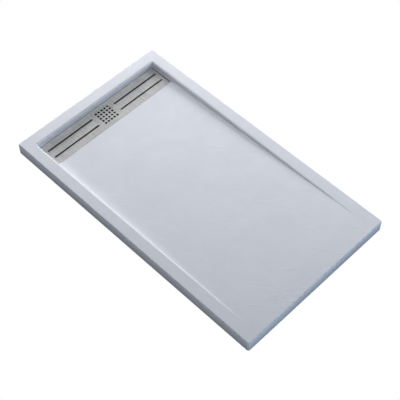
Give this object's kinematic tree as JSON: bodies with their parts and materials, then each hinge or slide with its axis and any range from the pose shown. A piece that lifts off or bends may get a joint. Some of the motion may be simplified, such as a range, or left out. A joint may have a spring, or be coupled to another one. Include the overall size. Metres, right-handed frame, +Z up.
{
  "type": "shower tray",
  "caption": "Low rectangular cast shower tray with a rim on three sides, a floor sloping to a slotted linear waste cover, and a water trap below.",
  "frame": {"origin": "middle of the tray's flat underside", "axes": "+X along the tray, from the drain end to the open front edge; +Y across it; +Z up"},
  "size_m": [1.2, 0.7, 0.1425],
  "materials": {
    "resin_white": "matte",
    "stainless_brushed": "satin",
    "stainless_bars": "satin",
    "stainless_pressed": "polished",
    "stainless_screw": "gloss",
    "brass_insert": "satin",
    "rubber_black": "matte",
    "plastic_white": "satin",
    "plastic_grey": "satin",
    "plastic_black": "satin",
    "chrome_knob": "polished"
  },
  "bodies": {
    "tray": {"tray_body": "resin_white", "waste_flange": "stainless_pressed", "flange_gasket": "rubber_black", "flange_screws": "stainless_screw", "screw_inserts": "brass_insert", "body_gasket": "rubber_black", "trap_head": "plastic_white", "trap_bowl": "plastic_white", "bowl_seal": "rubber_black", "outlet_nut": "plastic_white", "outlet_seal": "rubber_black"},
    "cover": {"grate_cover": "stainless_brushed", "grate_rails": "stainless_bars", "grate_cross_bars": "stainless_bars", "grate_pads": "rubber_black"},
    "strainer": {"hair_strainer": "plastic_black", "strainer_knob": "chrome_knob"},
    "dip": {"dip_tube": "plastic_grey", "dip_tube_ring": "rubber_black"},
    "elbow": {"outlet_elbow": "plastic_white"}
  },
  "joints": [
    {"name": "cover_lift", "type": "slide", "parent": "tray", "child": "cover", "axis": [0, 0, 1], "range_m": [0, 0.2]},
    {"name": "strainer_lift", "type": "slide", "parent": "tray", "child": "strainer", "axis": [0, 0, 1], "range_m": [0, 0.131]},
    {"name": "dip_tube_lift", "type": "slide", "parent": "tray", "child": "dip", "axis": [0, 0, 1], "range_m": [0, 0.101]},
    {"name": "outlet_swivel", "type": "hinge", "parent": "tray", "child": "elbow", "pos_m": [-0.406, 0, -0.034], "axis": [1, 0, 0], "range_deg": [0, 180]}
  ],
  "couplings": [
    {"joint": "strainer_lift", "follows": "cover_lift", "ratio": 0.65},
    {"joint": "dip_tube_lift", "follows": "cover_lift", "ratio": 0.5}
  ]
}
